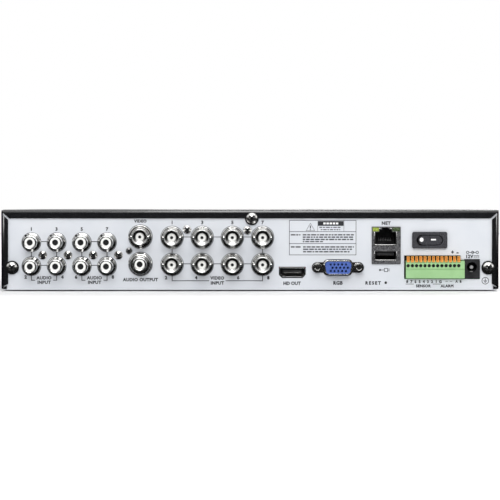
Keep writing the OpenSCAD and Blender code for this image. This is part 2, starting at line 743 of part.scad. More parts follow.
base_tray();
top_cover();
rubber_feet();
case_screws();
block_screws();
output_block_screw();
main_board();
board_standoffs();
inner_screws();
heat_sink();
clock_battery();
hard_disk();
disk_cable();
front_fascia();
front_board();
infrared_window();
light_pipes();
front_lead();
audio_blocks();
audio_shells();
audio_insulators();
video_block_left();
video_block_right();
video_barrels();
video_insulators();
video_contacts();
output_block();
output_barrel();
output_audio_shell();
output_insulators();
hd_port_shell();
hd_port_tongue();
monitor_port_shell();
monitor_port_insert();
monitor_port_jackscrews();
network_shield();
network_insert();
usb_tongue();
network_lights();
inlet_body();
inlet_pin();
terminal_body();
switch_housing();
switch_leads();
reset_switch();
reset_plunger();
rocker();
for (i = [1:ways]) lever(i);
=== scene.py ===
import bpy
import bmesh
import json
import math
import random
from mathutils import Matrix, Vector


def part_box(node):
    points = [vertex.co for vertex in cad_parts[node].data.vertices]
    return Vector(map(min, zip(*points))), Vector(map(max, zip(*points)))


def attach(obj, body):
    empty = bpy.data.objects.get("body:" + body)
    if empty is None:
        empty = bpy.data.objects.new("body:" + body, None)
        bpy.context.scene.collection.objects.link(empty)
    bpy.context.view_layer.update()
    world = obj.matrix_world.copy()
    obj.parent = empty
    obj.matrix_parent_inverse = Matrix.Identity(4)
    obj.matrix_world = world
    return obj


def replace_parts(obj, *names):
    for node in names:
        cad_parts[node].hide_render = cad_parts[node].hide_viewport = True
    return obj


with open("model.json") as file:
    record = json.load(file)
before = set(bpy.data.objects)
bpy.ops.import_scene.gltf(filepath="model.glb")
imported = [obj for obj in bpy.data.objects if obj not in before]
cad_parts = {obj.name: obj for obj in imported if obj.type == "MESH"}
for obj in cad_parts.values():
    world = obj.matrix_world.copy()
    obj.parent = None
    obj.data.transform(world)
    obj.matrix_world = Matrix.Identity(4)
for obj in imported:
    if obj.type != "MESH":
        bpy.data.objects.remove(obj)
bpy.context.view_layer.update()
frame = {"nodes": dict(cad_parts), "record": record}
nodes = frame["nodes"]
slots = {part["node"]: part["material_slot"] for part in frame["record"]["subparts"]}
mounts = {mount["name"]: Vector(mount["pos_m"]) for mount in frame["record"]["mounts"]}
mm = 0.001
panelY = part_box("base_tray")[0].y                # outer face of the back panel
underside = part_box("base_tray")[0].z             # underside of the case
print("frame loaded:", len(nodes), "nodes")

studio = {                                        # metres from the panel and above the underside
    "cameraAway": 1.12, "cameraHigh": 0.0495, "cameraAim": 0.02405, "lens": 133.8,
    "floorSize": 5.0, "floorColour": (0.96, 0.96, 0.965), "skyWhite": 1.0,
    "skyStops": ((0.0, 0.008), (0.47, 0.012), (0.555, 0.03), (0.61, 0.42), (0.76, 0.85), (0.88, 0.32),
                 (1.0, 0.25)),
}
lamps = {                                         # place, aim, size across and up, watts
    "front": ((0.0, -2.4, 1.5), (0, -0.1, 0.03), (1.6, 1.6), 40),
    "overhead": ((0.0, -0.75, 1.7), (0, 0, 0), (2.6, 1.2), 13),
    "leftBox": ((-1.7, -1.5, 1.1), (0, 0, 0), (0.9, 0.9), 1),
    "rightBox": ((2.1, -1.0, 0.7), (0, 0, 0), (0.4, 0.9), 2),
    "behind": ((0.6, 1.9, 1.5), (0, 0, 0), (1.8, 1.0), 34),
}


def aimAt(thing, place, target):
    thing.location = place
    thing.rotation_mode = "QUATERNION"
    thing.rotation_quaternion = (Vector(target) - Vector(place)).to_track_quat("-Z", "Y")


def addCamera():
    data = bpy.data.cameras.new("camera")
    camera = bpy.data.objects.new("camera", data)
    bpy.context.scene.collection.objects.link(camera)
    data.lens, data.clip_start, data.clip_end = studio["lens"], 0.01, 60
    place = (0, panelY - studio["cameraAway"], underside + studio["cameraHigh"])
    aimAt(camera, place, (0, panelY, underside + studio["cameraAim"]))
    bpy.context.scene.camera = camera


def addLamps():
    for name, (place, target, size, watts) in lamps.items():
        data = bpy.data.lights.new(name, "AREA")
        data.shape, data.size, data.size_y, data.energy = "RECTANGLE", size[0], size[1], watts
        lamp = bpy.data.objects.new(name, data)
        bpy.context.scene.collection.objects.link(lamp)
        aimAt(lamp, place, target)
    bpy.context.scene.view_settings.view_transform = "Standard"


addCamera()
addLamps()
print("camera and lamps placed")


class Wire:                                       # a socket that takes part in sums
    def __init__(self, look, socket):
        self.look, self.socket = look, socket

    def __add__(self, other): return self.look.sum("ADD", self, other)
    def __mul__(self, other): return self.look.sum("MULTIPLY", self, other)
    def __gt__(self, other): return self.look.sum("GREATER_THAN", self, other)
    __radd__, __rmul__ = __add__, __mul__


class Look:                                       # one finish and the nodes that make it
    def __init__(self, name, fixed={}, sky=False):
        self.material = (bpy.data.worlds if sky else bpy.data.materials).new(name)
        self.material.use_nodes = True
        self.tree = self.material.node_tree
        self.shader = self.tree.nodes["Background" if sky else "Principled BSDF"]
        for socket, value in fixed.items():
            self.shader.inputs[socket].default_value = value
        self.place = self.node("ShaderNodeTexCoord", out="Generated" if sky else "Object")

    def node(self, kind, settings={}, sockets={}, out=0):
        made = self.tree.nodes.new(kind)
        for key, value in settings.items():
            if key == "stops":
                while len(made.color_ramp.elements) < len(value):
                    made.color_ramp.elements.new(1.0)
                for element, (at, shade) in zip(made.color_ramp.elements, value):
                    element.position, element.color = at, (shade, shade, shade, 1)
            else:
                setattr(made, key, value)
        for key, value in sockets.items():
            if isinstance(value, Wire):
                self.tree.links.new(value.socket, made.inputs[key])
            else:
                made.inputs[key].default_value = value
        return Wire(self, made.outputs[out])

    def sum(self, operation, first, second):
        return self.node("ShaderNodeMath", {"operation": operation}, {0: first, 1: second})

    def noise(self, size, detail=2.0):            # size of a feature in millimetres
        sockets = {"Vector": self.place, "Scale": 1 / (size * mm), "Detail": detail}
        return self.node("ShaderNodeTexNoise", {}, sockets)

    def mixed(self, factor, first, second):
        tint = [value if isinstance(value, Wire) else (*value, 1) for value in (first, second)]
        return self.node("ShaderNodeMix", {"data_type": "RGBA"}, {0: factor, 6: tint[0], 7: tint[1]}, out=2)

    def contrast(self, wire, low, high):
        return self.node("ShaderNodeValToRGB", {"stops": ((low, 0), (high, 1))}, {"Fac": wire})

    def axis(self, letter):                       # one coordinate of the surface, in metres
        return self.node("ShaderNodeSeparateXYZ", {}, {"Vector": self.place}, out=letter)

    def feed(self, socket, wire):
        self.tree.links.new(wire.socket, self.shader.inputs[socket])

    def bump(self, height, depth, strength=1.0):  # depth in millimetres
        sockets = {"Height": height, "Distance": depth * mm, "Strength": strength}
        self.feed("Normal", self.node("ShaderNodeBump", {}, sockets))


def addSky():                                     # white to the eye, darker low down in mirrors
    look = Look("sky", sky=True)
    height = look.axis("Z") * 0.5 + 0.5
    seen = look.node("ShaderNodeLightPath", out="Is Camera Ray")
    ramp = look.node("ShaderNodeValToRGB", {"stops": studio["skyStops"]}, {"Fac": height})
    look.feed("Color", look.mixed(seen, ramp, (studio["skyWhite"],) * 3))
    bpy.context.scene.world = look.material


addSky()

# base colour, second colour, mottling size, roughness from and to, grain size, grain depth, metal, coat
finishes = {
    "cover_paint": ((0.003, 0.003, 0.004), (0.004, 0.004, 0.006), 18, (0.16, 0.22), 0.35, 0.002, 0, 0.0),
    "panel_paint": ((0.60, 0.625, 0.665), (0.635, 0.655, 0.69), 26, (0.50, 0.60), 0.30, 0.006, 0, 0.0),
    "foot_rubber": ((0.014, 0.014, 0.014), (0.028, 0.027, 0.026), 3, (0.75, 0.92), 0.25, 0.03, 0, 0.0),
    "screw_steel": ((0.86, 0.85, 0.83), (0.56, 0.56, 0.55), 1.2, (0.14, 0.26), 0.3, 0.008, 1, 0.0),
    "dark_screw": ((0.34, 0.34, 0.34), (0.16, 0.16, 0.16), 0.9, (0.25, 0.45), 0.3, 0.008, 1, 0.0),
    "connector_nickel": ((0.86, 0.86, 0.85), (0.72, 0.72, 0.71), 2.4, (0.09, 0.16), 0.5, 0.003, 1, 0.0),
    "contact_gold": ((0.80, 0.58, 0.24), (0.62, 0.42, 0.16), 0.8, (0.18, 0.35), 0.2, 0.003, 1, 0.0),
    "insulator_white": ((0.88, 0.88, 0.86), (0.80, 0.80, 0.77), 2.0, (0.42, 0.58), 0.3, 0.005, 0, 0.0),
    "block_black": ((0.012, 0.012, 0.013), (0.024, 0.024, 0.026), 4, (0.40, 0.62), 0.25, 0.012, 0, 0.0),
    "bare_aluminium": ((0.55, 0.56, 0.57), (0.42, 0.43, 0.44), 14, (0.34, 0.52), 0.4, 0.01, 1, 0.0),
    "brass_plain": ((0.62, 0.46, 0.20), (0.48, 0.34, 0.14), 1.5, (0.24, 0.40), 0.3, 0.005, 1, 0.0),
    "cable_red": ((0.42, 0.02, 0.02), (0.32, 0.015, 0.015), 8, (0.38, 0.5), 0.5, 0.01, 0, 0.0),
    "lead_grey": ((0.42, 0.42, 0.44), (0.34, 0.34, 0.36), 8, (0.4, 0.55), 0.5, 0.01, 0, 0.0),
    "fascia_black": ((0.008, 0.008, 0.010), (0.012, 0.012, 0.014), 30, (0.16, 0.24), 0.6, 0.004, 0, 0.5),
    "window_red": ((0.030, 0.002, 0.004), (0.045, 0.003, 0.006), 9, (0.05, 0.12), 0.8, 0.002, 0, 0.6),
    "light_pipe": ((0.70, 0.76, 0.72), (0.60, 0.68, 0.62), 2, (0.10, 0.22), 0.4, 0.003, 0, 0.3),
    "insert_blue": ((0.058, 0.122, 0.44), (0.045, 0.098, 0.35), 3, (0.34, 0.48), 0.25, 0.008, 0, 0.0),
    "terminal_green": ((0.29, 0.51, 0.235), (0.32, 0.55, 0.26), 6, (0.34, 0.48), 0.3, 0.01, 0, 0.0),
    "lever_orange": ((0.92, 0.46, 0.09), (0.98, 0.58, 0.16), 2.0, (0.32, 0.46), 0.25, 0.008, 0, 0.0),
    # lever_brown: a darker copy of the lever orange, used as painted shade in the slots of the levers
    "lever_brown": ((0.48, 0.17, 0.015), (0.60, 0.23, 0.03), 1.5, (0.40, 0.55), 0.25, 0.008, 0, 0.0),
    "switch_black": ((0.022, 0.022, 0.026), (0.058, 0.058, 0.066), 0.55, (0.42, 0.60), 0.28, 0.035, 0, 0.0),
    "plunger_black": ((0.014, 0.014, 0.013), (0.020, 0.020, 0.018), 1.5, (0.4, 0.55), 0.3, 0.006, 0, 0.0),
}


def plainFinish(name, base, second, mottle, rough, grain, depth, metal, coat):
    dark = not metal and max(base) < 0.05
    shine = 0.25 if dark and grain < 0.3 else 0.5
    look = Look(name, {"Metallic": metal, "Coat Weight": coat, "Specular IOR Level": shine})
    broad = look.noise(mottle, 3.0)
    look.feed("Base Color", look.mixed(look.contrast(broad, 0.35, 0.65), base, second))
    fine = look.noise(grain, 2.0)
    look.feed("Roughness", rough[0] + (rough[1] - rough[0]) * look.noise(mottle * 0.4, 2.0))
    look.bump(fine, depth)
    return look


looks = {name: plainFinish(name, *values) for name, values in finishes.items()}


def tinFinish():                                  # tin plate with a dull, blotchy spangle
    look = Look("shield_tin", {"Metallic": 1.0})
    blotch = look.contrast(look.noise(0.9, 4.0), 0.38, 0.62)
    look.feed("Base Color", look.mixed(blotch, (0.10, 0.10, 0.105), (0.26, 0.26, 0.27)))
    look.feed("Roughness", 0.34 + 0.22 * look.noise(0.5, 2.0))
    look.bump(look.noise(0.35, 3.0), 0.02)
    return look


def boardFinish():                                # green solder mask over copper tracks
    look = Look("board_green", {"Coat Weight": 0.3})
    cells = look.node("ShaderNodeTexVoronoi", {"feature": "DISTANCE_TO_EDGE", "distance": "CHEBYCHEV"},
                      {"Vector": look.place, "Scale": 260.0})
    tracks = look.contrast(cells, 0.03, 0.10)
    look.feed("Base Color", look.mixed(tracks, (0.03, 0.20, 0.08), (0.012, 0.10, 0.04)))
    look.feed("Roughness", 0.30 + 0.15 * look.noise(3.0))
    look.bump(tracks, 0.03)
    return look


def lampFinish():                                 # light guides, the left one pale and the right one dark
    look = Look("lamp_green", {"Coat Weight": 0.4})
    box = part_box("network_lights")
    right = look.axis("X") > (box[0].x + box[1].x) / 2
    soft = look.contrast(look.noise(0.6), 0.4, 0.6)
    left = look.mixed(soft, (0.20, 0.27, 0.03), (0.34, 0.42, 0.08))
    dark = look.mixed(soft, (0.012, 0.03, 0.01), (0.13, 0.17, 0.09))
    look.feed("Base Color", look.mixed(right, left, dark))
    look.feed("Roughness", 0.15 + 0.15 * soft)
    look.bump(look.noise(0.4), 0.01)
    return look


def inkFinish(name, base):                        # screen printing, a little uneven
    look = Look(name, {})
    paler = tuple(1.25 * value + 0.004 for value in base)
    look.feed("Base Color", look.mixed(look.noise(0.25, 3.0), base, paler))
    look.feed("Roughness", 0.45 + 0.2 * look.noise(0.5))
    look.bump(look.noise(0.12), 0.004)
    return look


def floorFinish():
    look = Look("floor_paper", {})
    colour = studio["floorColour"]
    look.feed("Base Color", look.mixed(look.noise(400), colour, tuple(0.98 * value for value in colour)))
    look.feed("Roughness", 0.6 + 0.1 * look.noise(250))
    return look


lacquerIor = 2.0                                  # a hard lacquer, so the bends catch the light
looks["cover_paint"].shader.inputs["IOR"].default_value = lacquerIor
looks["shield_tin"] = tinFinish()
looks["board_green"] = boardFinish()
looks["lamp_green"] = lampFinish()
looks["ink_dark"] = inkFinish("ink_dark", (0.012, 0.013, 0.018))
looks["ink_grey"] = inkFinish("ink_grey", (0.045, 0.047, 0.055))
looks["ink_white"] = inkFinish("ink_white", (0.80, 0.80, 0.80))
# painted highlight: a pale non-metal grey that stands in for the inlet's metal pin catching the light
looks["pin_painted_highlight"] = plainFinish("pin_painted_highlight", (0.40, 0.40, 0.40), (0.30, 0.30, 0.30), 1.0, (0.2, 0.3),
                                  0.3, 0.004, 0, 0.3)
# painted highlight: a bright metal copy for edges that catch the light, much paler than the metal they belong
# to
looks["lip_painted_highlight"] = plainFinish("lip_painted_highlight", (0.80, 0.80, 0.79), (0.66, 0.66, 0.65), 1.5, (0.20, 0.32),
                                  0.3, 0.004, 1, 0)
print("finishes made:", len(looks))

edges = {   # rounding of the edges of nodes whose shape stays, in millimetres
    "top_cover": 0.15, "rubber_feet": 0.35, "case_screws": 0.10, "block_screws": 0.08,
    "output_block_screw": 0.06, "front_fascia": 0.35, "infrared_window": 0.2, "hd_port_shell": 0.08,
    "hd_port_tongue": 0.08, "monitor_port_shell": 0.10, "monitor_port_insert": 0.08,
    "monitor_port_jackscrews": 0.12,
    "network_shield": 0.08, "network_insert": 0.06, "usb_tongue": 0.08, "inlet_body": 0.18, "inlet_pin": 0.08,
    "terminal_body": 0.10, "switch_housing": 0.30, "rocker": 0.22, "hard_disk": 0.4,
}


def softenEdges(node, width):
    weld = node.modifiers.new("weld", "WELD")
    weld.merge_threshold = 0.000002
    bevel = node.modifiers.new("bevel", "BEVEL")
    bevel.width, bevel.segments, bevel.limit_method = width * mm, 2, "ANGLE"
    bevel.angle_limit, bevel.use_clamp_overlap, bevel.harden_normals = math.radians(40), True, True


for name, node in nodes.items():
    node.data.materials.clear()
    # the inlet pin takes the painted highlight grey instead of its own metal
    node.data.materials.append(looks["pin_painted_highlight" if name == "inlet_pin" else slots[name]].material)
    if name in edges:
        softenEdges(node, edges[name])
print("packed nodes finished")


def newPiece(name, bm, look, body="case", fixNormals=True, crease=32, second=None):
    if fixNormals:
        bmesh.ops.remove_doubles(bm, verts=bm.verts, dist=0.000001)
        bmesh.ops.recalc_face_normals(bm, faces=bm.faces)
    mesh = bpy.data.meshes.new(name)
    bm.to_mesh(mesh)
    bm.free()
    for polygon in mesh.polygons:
        polygon.use_smooth = True
    mesh.set_sharp_from_angle(angle=math.radians(crease))
    for each in (look, second) if second else (look,):
        mesh.materials.append(looks[each].material)
    piece = bpy.data.objects.new(name, mesh)
    bpy.context.scene.collection.objects.link(piece)
    if body:
        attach(piece, body)
    return piece


def spot(x, z, out=0.0):                          # millimetres on the panel to a point of the frame
    return Vector((x * mm, panelY - out * mm, underside + z * mm))


def lathe(bm, centre, outline, steps=56):         # turns a closed outline of (radius, distance out)
    ring = [bm.verts.new(centre + Vector((radius * mm, -out * mm, 0))) for radius, out in outline]
    sides = [bm.edges.new((ring[i - 1], ring[i])) for i in range(len(ring))]
    bmesh.ops.spin(bm, geom=ring + sides, cent=centre, axis=(0, 1, 0), angle=math.tau, steps=steps,
                   use_merge=True)


def box(bm, low, high, bevel=0.0, segments=2, turn=None):        # corners in metres, bevel in millimetres
    low, high = Vector(low), Vector(high)
    size, middle = high - low, (low + high) / 2
    made = bmesh.ops.create_cube(bm, size=1.0)["verts"]
    bmesh.ops.scale(bm, verts=made, vec=size)
    if bevel:
        rims = list({edge for vert in made for edge in vert.link_edges})
        made = bmesh.ops.bevel(bm, geom=rims, offset=bevel * mm, offset_type="OFFSET", affect="EDGES",
                               segments=segments, profile=0.5, material=-1, clamp_overlap=True)["verts"]
        made = list({vert for start in made for vert in flood(start)})
    if turn is not None:
        bmesh.ops.transform(bm, matrix=turn, verts=made)
    bmesh.ops.translate(bm, verts=made, vec=middle)
    return made


def flood(start):                                 # every vert joined to this one
    seen, todo = {start}, [start]
    while todo:
        for edge in todo.pop().link_edges:
            for vert in edge.verts:
                if vert not in seen:
                    seen.add(vert)
                    todo.append(vert)
    return seen


def panelBar(bm, x, z, thick=0.03, sink=0.01):    # a flat printed bar between two x and two z, in millimetres
    return box(bm, spot(x[0], z[0], thick), spot(x[1], z[1], -sink))


def pin(bm, start, end, radius, sides=24):        # a capped rod between two points in metres
    start, end = Vector(start), Vector(end)
    way = end - start
    place = Matrix.Translation((start + end) / 2) @ way.to_track_quat("Z", "Y").to_matrix().to_4x4()
    return bmesh.ops.create_cone(bm, cap_ends=True, segments=sides, radius1=radius * mm, radius2=radius * mm,
                                 depth=way.length, matrix=place)["verts"]


def words(bm, text, x, z, height, spread=1.1):
    curve = bpy.data.curves.new("words", "FONT")
    curve.body, curve.size, curve.align_x, curve.space_character = text, height * 1.42 * mm, "CENTER", spread
    curve.extrude, curve.offset, curve.resolution_u = 0.02 * mm, 0.075 * height * mm, 2
    thing = bpy.data.objects.new("words", curve)
    bpy.context.scene.collection.objects.link(thing)
    mesh = bpy.data.meshes.new_from_object(thing.evaluated_get(bpy.context.evaluated_depsgraph_get()))
    stand = Matrix.Translation(spot(x, z - height / 2, 0.01)) @ Matrix.Rotation(math.radians(90), 4, "X")
    mesh.transform(stand)
    bm.from_mesh(mesh)
    bpy.data.objects.remove(thing)
    bpy.data.curves.remove(curve)
    bpy.data.meshes.remove(mesh)


audio = {"shell": 4.15, "bore": 3.12, "flange": 5.65, "step": 5.05, "reach": 9.0, "hole": 1.8}


def crown(inner, outer, base, rise, steps=6):     # outline of a half-round lip, from outer foot to inner
    middle, half = (inner + outer) / 2, (outer - inner) / 2
    turns = [math.pi * i / steps for i in range(steps + 1)]
    return [(middle + half * math.cos(turn), base + rise * math.sin(turn)) for turn in turns]


def audioShell(bm, centre, flange=audio["flange"]):
    a = audio
    tip = [(a["bore"], a["reach"] - 0.35)]
    lathe(bm, centre, [(a["bore"], -9.6), (a["step"], -9.6), (a["step"], -0.95), (flange, -0.95)]
          + crown(5.0, flange, 0.25, 0.5) + [(4.95, 0.0)] + crown(4.3, 4.9, 0.35, 0.45) + [(a["shell"], 0.0)]
          + crown(a["bore"] + 0.08, a["shell"], a["reach"] - 0.4, 0.4) + tip)


def audioInsulator(bm, centre, radius=3.1, tip=8.85):
    lathe(bm, centre, [(audio["hole"], -8.9), (radius, -8.9), (radius, tip - 0.15), (radius - 0.15, tip),
                       (audio["hole"] + 0.1, tip), (audio["hole"], tip - 0.15)])


def paintSleeveShade(bm, centre, tip=8.3):            # painted shade: the sleeve in the insulator's hole and a disc closing it are black, for the dark hole
    lathe(bm, centre, [(1.45, 1.0), (1.79, 1.0), (1.79, tip), (1.6, tip + 0.1), (1.45, tip - 0.2)], 32)
    pin(bm, centre + Vector((0, -7.4 * mm, 0)), centre + Vector((0, -6.9 * mm, 0)), 1.78)


def addAudio():
    shells, whites, sleeveShades, flangeShades = bmesh.new(), bmesh.new(), bmesh.new(), bmesh.new()
    for name, tip in mounts.items():
        if not name.startswith("audio_in_"):
            continue
        centre = Vector((tip.x, panelY, tip.z))
        upper = int(name.split("_")[-1]) % 2 == 1
        audioShell(shells, centre)
        audioInsulator(whites, centre)
        paintSleeveShade(sleeveShades, centre)
        side = -1 if upper else 1                 # painted shade: a black block set in each flange where a dark notch shows, upper left on the upper row, upper right on the lower
        lean = Matrix.Rotation(math.radians(40 * side), 4, "Y")
        key = centre + lean @ Vector((0, 0, 4.85 * mm))
        size = Vector((0.6, 0.5, 0.75)) * mm
        out = Vector((0, -0.45 * mm, 0))
        box(flangeShades, key - size + out, key + size + out, 0.1, 1, lean)
    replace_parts(newPiece("audioShells", shells, "connector_nickel"), "audio_shells")
    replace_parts(newPiece("audioInsulators", whites, "insulator_white"), "audio_insulators")
    # painted shade: black sleeves and closing discs in the audio sockets
    newPiece("audioSleevePaintedShade", sleeveShades, "block_black")
    newPiece("audioFlangePaintedShade", flangeShades, "block_black")


video = {"barrel": 4.8, "bore": 4.12, "reach": 10.5, "lugOut": 7.6, "lugTip": 5.6, "core": 2.45, "steps": 64}


def bayonet(bm, centre, collar):
    v = video
    lathe(bm, centre, [(2.5, -10.8), (5.5, -10.8), (5.5, -0.95), (collar, -0.95)]
          + crown(collar - 0.65, collar, 0.6, 0.6) + [(collar - 0.67, -0.2), (5.85, -0.2)]
          + crown(5.3, 5.83, 1.0, 0.5) + [(5.28, 0.5), (5.08, 0.5)]
          + crown(4.72, 5.06, 2.8, 0.4) + [(4.65, 2.6), (4.65, 6.2), (v["barrel"], 6.5)]
          + crown(v["bore"] + 0.05, v["barrel"], v["reach"] - 0.35, 0.35)
          + [(v["bore"], v["reach"] - 0.5), (v["bore"], 7.3), (2.5, 7.05)], v["steps"])
    for side in (-1, 1):
        root = centre + Vector((side * 4.3 * mm, -v["lugOut"] * mm, 0))
        lug = pin(bm, root, centre + Vector((side * v["lugTip"] * mm, -v["lugOut"] * mm, 0)), 0.95, 28)
        rims = {edge for vert in lug for edge in vert.link_edges}
        tips = [edge for edge in rims if edge.calc_face_angle(0) > 1.0]
        bmesh.ops.bevel(bm, geom=tips, offset=0.14 * mm, offset_type="OFFSET", affect="EDGES", segments=2,
                        profile=0.5, material=-1)


def bayonetCore(bm, centre):
    core = video["core"]
    lathe(bm, centre, [(1.25, -8.9), (core, -8.9), (core, 7.6), (core - 0.15, 7.75), (1.02, 7.75),
                       (0.95, 7.65), (0.95, 7.0), (1.25, 6.9)], 48)


def bayonetContact(bm, centre):
    lathe(bm, centre, [(0.62, 1.0), (1.2, 1.0), (1.2, 5.0), (1.05, 5.2), (0.78, 5.2), (0.62, 5.0)], 32)
    pin(bm, centre + Vector((0, -1.2 * mm, 0)), centre + Vector((0, 9.4 * mm, 0)), 1.18)


def paintContactShade(bm, centre):                     # painted shade: a black plug in the mouth of the contact, inside the insulator, for the dark hole
    pin(bm, centre + Vector((0, -6.3 * mm, 0)), centre + Vector((0, -7.4 * mm, 0)), 0.94)


def paintGapShade(bm, centre, radius):                  # painted shade: a black ring on the panel for the dark gap between a collar and its hole in the panel
    inner, outer = radius - 0.3, radius + 0.28
    lathe(bm, centre, [(inner, -0.4), (outer, -0.4), (outer, 0.03), (inner, 0.03)])


def addVideo():
    barrels, cores, contacts, outBarrel = bmesh.new(), bmesh.new(), bmesh.new(), bmesh.new()
    contactShades, gapShades = bmesh.new(), bmesh.new()
    for name, tip in mounts.items():
        if name.startswith("video_"):
            centre = Vector((tip.x, panelY, tip.z))
            bayonet(*((outBarrel, centre, 7.1) if name == "video_out" else (barrels, centre, 6.75)))
            if name != "video_out":
                bayonetCore(cores, centre)
            bayonetContact(contacts, centre)
            paintContactShade(contactShades, centre)
    for name, tip in mounts.items():
        radius = {"video_in": 6.75, "audio_in": 5.65, "video_ou": 7.1, "audio_ou": 7.1}.get(name[:8])
        if radius:
            paintGapShade(gapShades, Vector((tip.x, panelY, tip.z)), radius)
    newPiece("contactPaintedShade", contactShades, "block_black")
    newPiece("collarGapPaintedShade", gapShades, "block_black")
    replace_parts(newPiece("videoBarrels", barrels, "connector_nickel"), "video_barrels")
    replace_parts(newPiece("outputBarrel", outBarrel, "connector_nickel"), "output_barrel")
    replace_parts(newPiece("videoInsulators", cores, "insulator_white"), "video_insulators")
    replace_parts(newPiece("videoContacts", contacts, "contact_gold"), "video_contacts")


def addOutput():
    shell, whites, sleeveShade = bmesh.new(), bmesh.new(), bmesh.new()
    tip = mounts["audio_out"]
    centre = Vector((tip.x, panelY, tip.z))
    lathe(shell, centre, [                        # wide collar with a moat round the audio shell
        (3.0, -9.8), (5.4, -9.8), (5.4, -0.95), (7.1, -0.95)] + crown(6.45, 7.1, 0.9, 0.6)
          + [(6.4, 0.2), (6.2, 0.2)] + crown(5.5, 6.2, 2.5, 0.5) + [(5.45, 0.9), (5.3, 0.75)]
          + crown(4.35, 5.2, 1.2, 0.6) + [(4.15, 0.9)]
          + crown(3.1, 4.15, 8.6, 0.4) + [(3.0, 8.6)])
    audioInsulator(whites, centre, 2.95)
    paintSleeveShade(sleeveShade, centre)
    videoTip = mounts["video_out"]
    bayonetCore(whites, Vector((videoTip.x, panelY, videoTip.z)))
    piece = newPiece("outputAudioShell", shell, "connector_nickel")
    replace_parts(piece, "output_audio_shell")
    piece = newPiece("outputInsulators", whites, "insulator_white")
    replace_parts(piece, "output_insulators")
    # painted shade: black sleeve and closing disc in the output audio socket
    newPiece("outputSleevePaintedShade", sleeveShade, "block_black")


addAudio()
addVideo()
addOutput()
print("sockets made")

lever = {"tabDeep": 2.0, "slotRim": 0.40, "slotDeep": 0.9, "rounding": 0.16, "heel": 0.9, "heelIn": 0.9}


def addLevers():
    for number in range(1, 14):
        node = f"lever_{number}"
        low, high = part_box(node)
        bm = bmesh.new()
        tab = box(bm, (low.x, low.y, low.z + 0.7 * mm), (high.x, low.y + lever["tabDeep"] * mm, high.z))
        sides = {face for vert in tab for face in vert.link_faces}
        front = min(sides, key=lambda face: face.calc_center_median().y)
        bmesh.ops.inset_individual(bm, faces=[front], thickness=lever["slotRim"] * mm, depth=0)
        bmesh.ops.translate(bm, verts=front.verts, vec=(0, lever["slotDeep"] * mm, 0))
        # painted shade: the recessed slot face takes the darker lever_brown
        front.material_index = 1
        outer = [edge for edge in bm.edges if edge.calc_face_angle(0) > 1.0]
        bmesh.ops.bevel(bm, geom=outer, offset=lever["rounding"] * mm, offset_type="OFFSET", affect="EDGES",
                        segments=2, profile=0.5, material=-1)
        heel = Vector((0, high.y - lever["heelIn"] * mm, low.z + lever["heelIn"] * mm))
        box(bm, (low.x, low.y + 1.9 * mm, low.z + 0.5 * mm), (high.x, heel.y, low.z + 1.75 * mm), 0.1)
        pin(bm, (low.x, heel.y, heel.z), (high.x, heel.y, heel.z), lever["heel"])
        piece = newPiece(f"lever{number}", bm, "lever_orange", node, second="lever_brown")
        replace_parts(piece, node)


# painted shade: height, depth, reach and radius of the black plugs in the wire holes
wireHoleShade = {"high": 14.6, "deep": 0.2, "out": 0.9, "radius": 1.03}


def addTerminalPaintedShade():                          # painted shade: a black sheet in the dark well behind the levers, and black plugs in the wire holes
    bm = bmesh.new()
    first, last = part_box("lever_1"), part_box("lever_13")
    box(bm, (first[0].x - 1.2 * mm, panelY + 2.9 * mm, underside + 17.7 * mm),
        (last[1].x + 0.9 * mm, panelY + 3.15 * mm, underside + 20.7 * mm))
    for number in range(1, 14):
        x = sum(corner.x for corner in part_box(f"lever_{number}")) / 2
        mouth = Vector((x, panelY, underside + wireHoleShade["high"] * mm))
        deep, out = Vector((0, wireHoleShade["deep"] * mm, 0)), Vector((0, -wireHoleShade["out"] * mm, 0))
        pin(bm, mouth + deep, mouth + out, wireHoleShade["radius"])
    newPiece("terminalPaintedShade", bm, "block_black")


addLevers()
addTerminalPaintedShade()
print("levers made")


